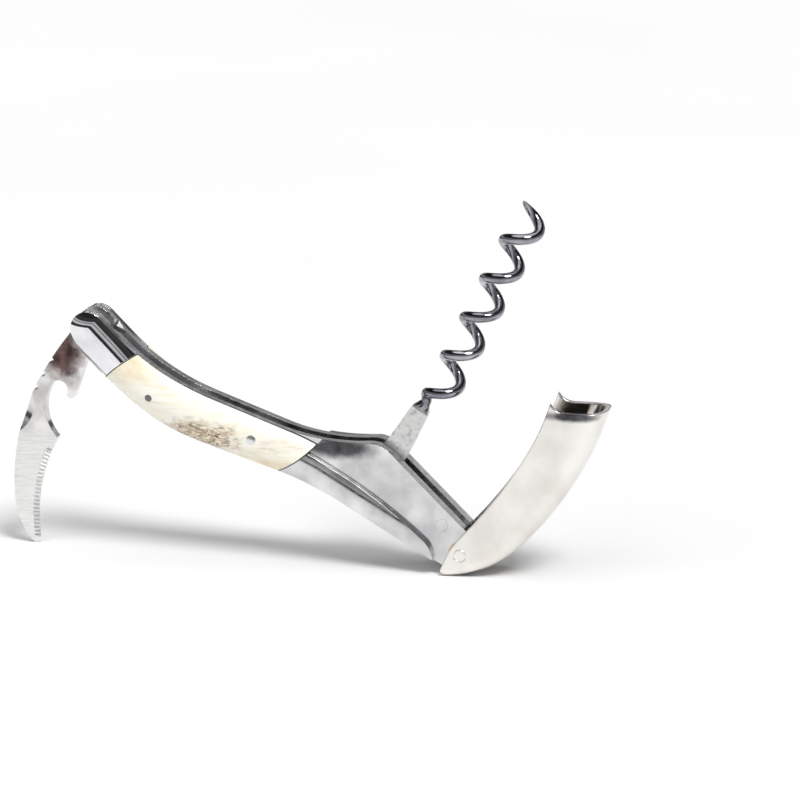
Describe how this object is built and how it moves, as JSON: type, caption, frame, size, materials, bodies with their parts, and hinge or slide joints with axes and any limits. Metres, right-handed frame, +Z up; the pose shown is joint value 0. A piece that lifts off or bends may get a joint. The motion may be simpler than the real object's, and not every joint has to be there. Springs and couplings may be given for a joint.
{
  "type": "waiters corkscrew",
  "caption": "Folding waiters corkscrew: bone-scaled curved handle with steel bolsters, serrated foil blade with cap lifter, wire worm and hollow boot lever, shown half open on its blade tip and heel.",
  "frame": {"origin": "on the surface the corkscrew stands on, under the middle of its bounding box", "axes": "+X from the head (blade end) to the tail (lever end), +Y across the thickness, +Z up"},
  "size_m": [0.1511, 0.014, 0.0927],
  "materials": {
    "mirror_steel": "mirror-polished stainless steel",
    "spring_steel": "satin steel, lightly worn",
    "pin_steel": "peened and polished steel",
    "blade_steel": "brushed stainless steel",
    "dark_nickel": "bright dark nickel plate",
    "bronze": "phosphor bronze",
    "bone": "polished natural bone with brown pores",
    "black_fibre": "vulcanised fibre sheet"
  },
  "bodies": {
    "handle": {"liner_left": "spring_steel", "liner_right": "spring_steel", "head_bolster_left": "mirror_steel", "head_bolster_right": "mirror_steel", "rear_bolster_left": "mirror_steel", "rear_bolster_right": "mirror_steel", "bone_scale_left": "bone", "bone_scale_right": "bone", "fibre_liner_left": "black_fibre", "fibre_liner_right": "black_fibre", "back_spring": "spring_steel", "worm_spring": "spring_steel", "blade_pin": "pin_steel", "worm_pin": "pin_steel", "rear_pin": "pin_steel", "spring_pin": "pin_steel", "front_rivet_left": "pin_steel", "front_rivet_right": "pin_steel", "blade_washer_left": "bronze", "blade_washer_right": "bronze", "worm_washer_left": "bronze", "worm_washer_right": "bronze", "lever_washer_left": "bronze", "lever_washer_right": "bronze"},
    "blade": {"foil_blade": "blade_steel"},
    "lever": {"lever": "mirror_steel", "lever_pin": "pin_steel"},
    "worm": {"worm": "dark_nickel"}
  },
  "joints": [
    {"name": "blade_hinge", "type": "hinge", "parent": "handle", "child": "blade", "pos_m": [-0.0542, 0, 0.0566], "axis": [0, -1, 0], "range_deg": [-104, 74]},
    {"name": "worm_hinge", "type": "hinge", "parent": "handle", "child": "worm", "pos_m": [0.0202, 0, 0.026], "axis": [0, -1, 0], "range_deg": [0, 91.6]},
    {"name": "lever_hinge", "type": "hinge", "parent": "handle", "child": "lever", "pos_m": [0.04, 0, 0.0055], "axis": [0, -1, 0], "range_deg": [-93, 35]}
  ]
}
